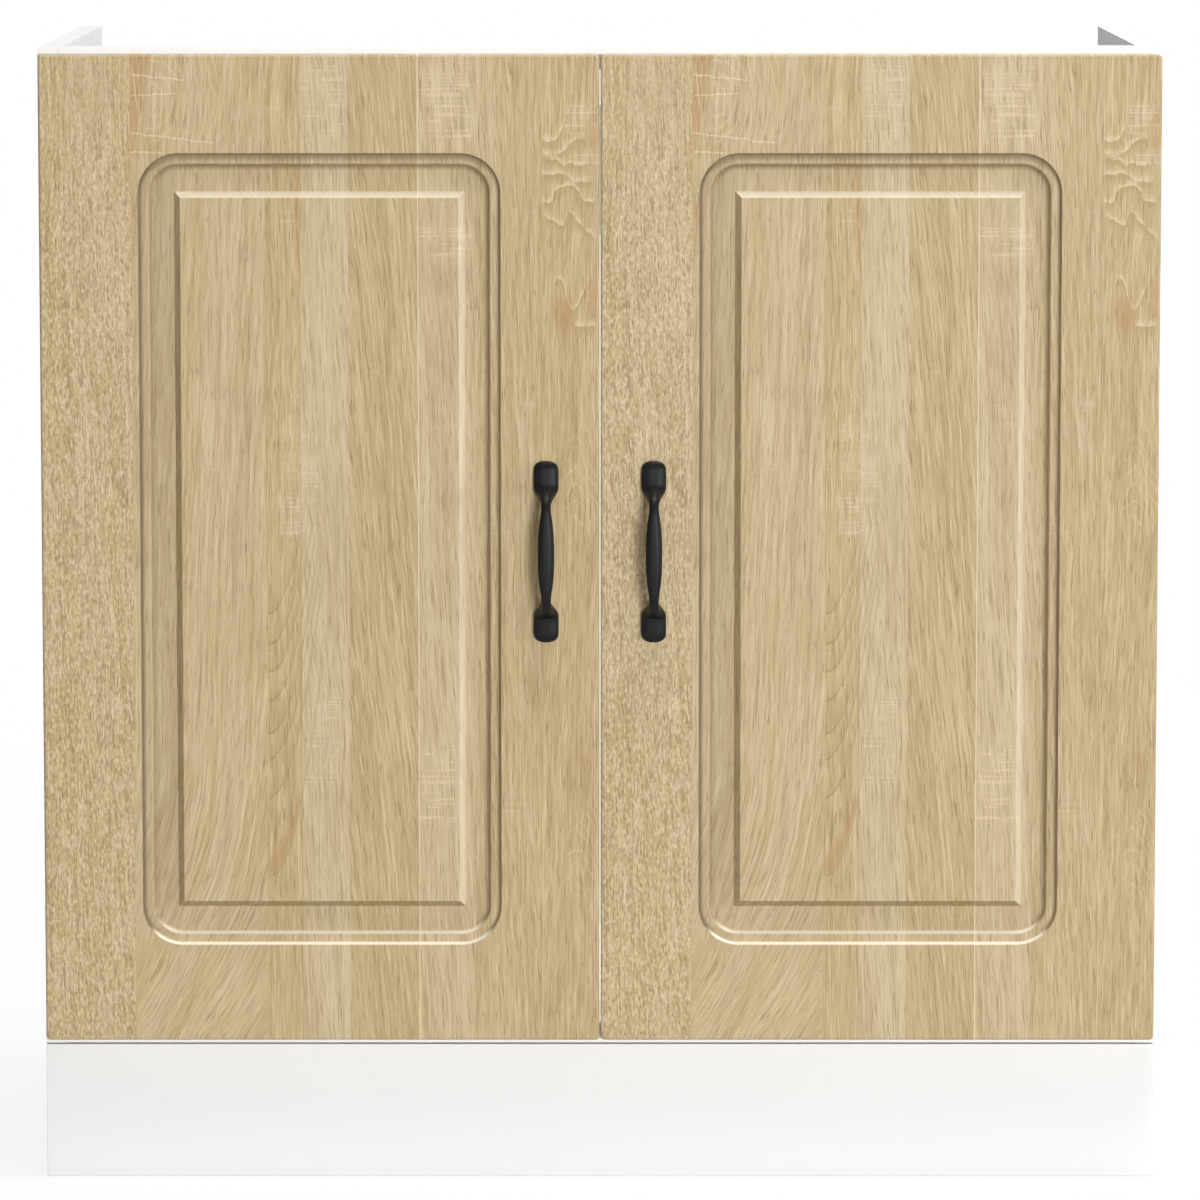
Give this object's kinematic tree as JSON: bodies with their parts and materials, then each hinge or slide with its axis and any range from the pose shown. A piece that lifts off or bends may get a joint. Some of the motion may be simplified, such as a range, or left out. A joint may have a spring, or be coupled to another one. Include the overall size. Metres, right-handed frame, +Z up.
{
  "type": "sink base cabinet",
  "caption": "Sink base cabinet with two hinged oak-foil doors, white open-backed carcass, plinth board, bow handles and concealed cup hinges.",
  "frame": {"origin": "on the floor, under the middle of the cabinet's overall box with its handles", "axes": "+X to the right as seen by someone facing the doors, +Y from the doors to the back, +Z up"},
  "size_m": [0.8, 0.4869, 0.815],
  "materials": {
    "white_board": "white melamine faced board, satin",
    "oak_foil": "light oak foil with fine embossed grain, satin; white back",
    "black_metal": "matt black lacquer",
    "nickel_plated_steel": "nickel plated, bright",
    "zinc_plated_steel": "zinc plated, satin",
    "clear_rubber": "clear soft plastic"
  },
  "bodies": {
    "carcass": {"bottom_panel": "white_board", "confirmat_bottom_panel_front_left": "zinc_plated_steel", "confirmat_bottom_panel_front_right": "zinc_plated_steel", "confirmat_bottom_panel_rear_left": "zinc_plated_steel", "confirmat_bottom_panel_rear_right": "zinc_plated_steel", "confirmat_front_rail_middle_left": "zinc_plated_steel", "confirmat_front_rail_middle_right": "zinc_plated_steel", "confirmat_rear_rail_lower_left": "zinc_plated_steel", "confirmat_rear_rail_lower_right": "zinc_plated_steel", "confirmat_rear_rail_upper_left": "zinc_plated_steel", "confirmat_rear_rail_upper_right": "zinc_plated_steel", "front_rail": "white_board", "hinge_arm_left_lower": "nickel_plated_steel", "hinge_arm_left_upper": "nickel_plated_steel", "hinge_arm_right_lower": "nickel_plated_steel", "hinge_arm_right_upper": "nickel_plated_steel", "hinge_plate_left_lower": "nickel_plated_steel", "hinge_plate_left_upper": "nickel_plated_steel", "hinge_plate_right_lower": "nickel_plated_steel", "hinge_plate_right_upper": "nickel_plated_steel", "plinth_board": "white_board", "plinth_bracket_left": "zinc_plated_steel", "plinth_bracket_right": "zinc_plated_steel", "rear_rail": "white_board", "side_panel_left": "white_board", "side_panel_right": "white_board"},
    "left_door": {"bumper_left_lower": "clear_rubber", "bumper_left_upper": "clear_rubber", "cup_screw_left_lower_a": "nickel_plated_steel", "cup_screw_left_lower_b": "nickel_plated_steel", "cup_screw_left_upper_a": "nickel_plated_steel", "cup_screw_left_upper_b": "nickel_plated_steel", "door_left": "oak_foil", "handle_left": "black_metal", "handle_screw_left_lower": "zinc_plated_steel", "handle_screw_left_upper": "zinc_plated_steel", "hinge_cup_left_lower": "nickel_plated_steel", "hinge_cup_left_upper": "nickel_plated_steel"},
    "left_upper_carrier": {"hinge_carrier_link_left_upper": "nickel_plated_steel"},
    "left_upper_guide": {"hinge_guide_link_left_upper": "nickel_plated_steel"},
    "left_lower_carrier": {"hinge_carrier_link_left_lower": "nickel_plated_steel"},
    "left_lower_guide": {"hinge_guide_link_left_lower": "nickel_plated_steel"},
    "right_door": {"bumper_right_lower": "clear_rubber", "bumper_right_upper": "clear_rubber", "cup_screw_right_lower_a": "nickel_plated_steel", "cup_screw_right_lower_b": "nickel_plated_steel", "cup_screw_right_upper_a": "nickel_plated_steel", "cup_screw_right_upper_b": "nickel_plated_steel", "door_right": "oak_foil", "handle_right": "black_metal", "handle_screw_right_lower": "zinc_plated_steel", "handle_screw_right_upper": "zinc_plated_steel", "hinge_cup_right_lower": "nickel_plated_steel", "hinge_cup_right_upper": "nickel_plated_steel"},
    "right_upper_carrier": {"hinge_carrier_link_right_upper": "nickel_plated_steel"},
    "right_upper_guide": {"hinge_guide_link_right_upper": "nickel_plated_steel"},
    "right_lower_carrier": {"hinge_carrier_link_right_lower": "nickel_plated_steel"},
    "right_lower_guide": {"hinge_guide_link_right_lower": "nickel_plated_steel"}
  },
  "joints": [
    {"name": "left_door_turn", "type": "hinge", "parent": "left_upper_carrier", "child": "left_door", "pos_m": [-0.3892, -0.2073, 0.721], "axis": [0, 0, -1], "range_deg": [0, 115.9]},
    {"name": "left_upper_carrier_swing", "type": "hinge", "parent": "carcass", "child": "left_upper_carrier", "pos_m": [-0.369, -0.2025, 0.721], "axis": [0, 0, -1], "range_deg": [-21, 0]},
    {"name": "left_upper_guide_swing", "type": "hinge", "parent": "carcass", "child": "left_upper_guide", "pos_m": [-0.3645, -0.196, 0.721], "axis": [0, 0, -1], "range_deg": [-32.4, 0]},
    {"name": "left_lower_carrier_swing", "type": "hinge", "parent": "carcass", "child": "left_lower_carrier", "pos_m": [-0.369, -0.2025, 0.193], "axis": [0, 0, -1], "range_deg": [-21, 0]},
    {"name": "left_lower_guide_swing", "type": "hinge", "parent": "carcass", "child": "left_lower_guide", "pos_m": [-0.3645, -0.196, 0.193], "axis": [0, 0, -1], "range_deg": [-32.4, 0]},
    {"name": "right_door_turn", "type": "hinge", "parent": "right_upper_carrier", "child": "right_door", "pos_m": [0.3892, -0.2073, 0.721], "axis": [0, 0, 1], "range_deg": [0, 115.9]},
    {"name": "right_upper_carrier_swing", "type": "hinge", "parent": "carcass", "child": "right_upper_carrier", "pos_m": [0.369, -0.2025, 0.721], "axis": [0, 0, 1], "range_deg": [-21, 0]},
    {"name": "right_upper_guide_swing", "type": "hinge", "parent": "carcass", "child": "right_upper_guide", "pos_m": [0.3645, -0.196, 0.721], "axis": [0, 0, 1], "range_deg": [-32.4, 0]},
    {"name": "right_lower_carrier_swing", "type": "hinge", "parent": "carcass", "child": "right_lower_carrier", "pos_m": [0.369, -0.2025, 0.193], "axis": [0, 0, 1], "range_deg": [-21, 0]},
    {"name": "right_lower_guide_swing", "type": "hinge", "parent": "carcass", "child": "right_lower_guide", "pos_m": [0.3645, -0.196, 0.193], "axis": [0, 0, 1], "range_deg": [-32.4, 0]}
  ],
  "couplings": [
    {"joint": "left_upper_carrier_swing", "follows": "left_door_turn", "ratio": -0.18033},
    {"joint": "left_upper_guide_swing", "follows": "left_door_turn", "ratio": -0.27869},
    {"joint": "left_lower_carrier_swing", "follows": "left_door_turn", "ratio": -0.18033},
    {"joint": "left_lower_guide_swing", "follows": "left_door_turn", "ratio": -0.27869},
    {"joint": "right_upper_carrier_swing", "follows": "right_door_turn", "ratio": -0.18033},
    {"joint": "right_upper_guide_swing", "follows": "right_door_turn", "ratio": -0.27869},
    {"joint": "right_lower_carrier_swing", "follows": "right_door_turn", "ratio": -0.18033},
    {"joint": "right_lower_guide_swing", "follows": "right_door_turn", "ratio": -0.27869}
  ]
}
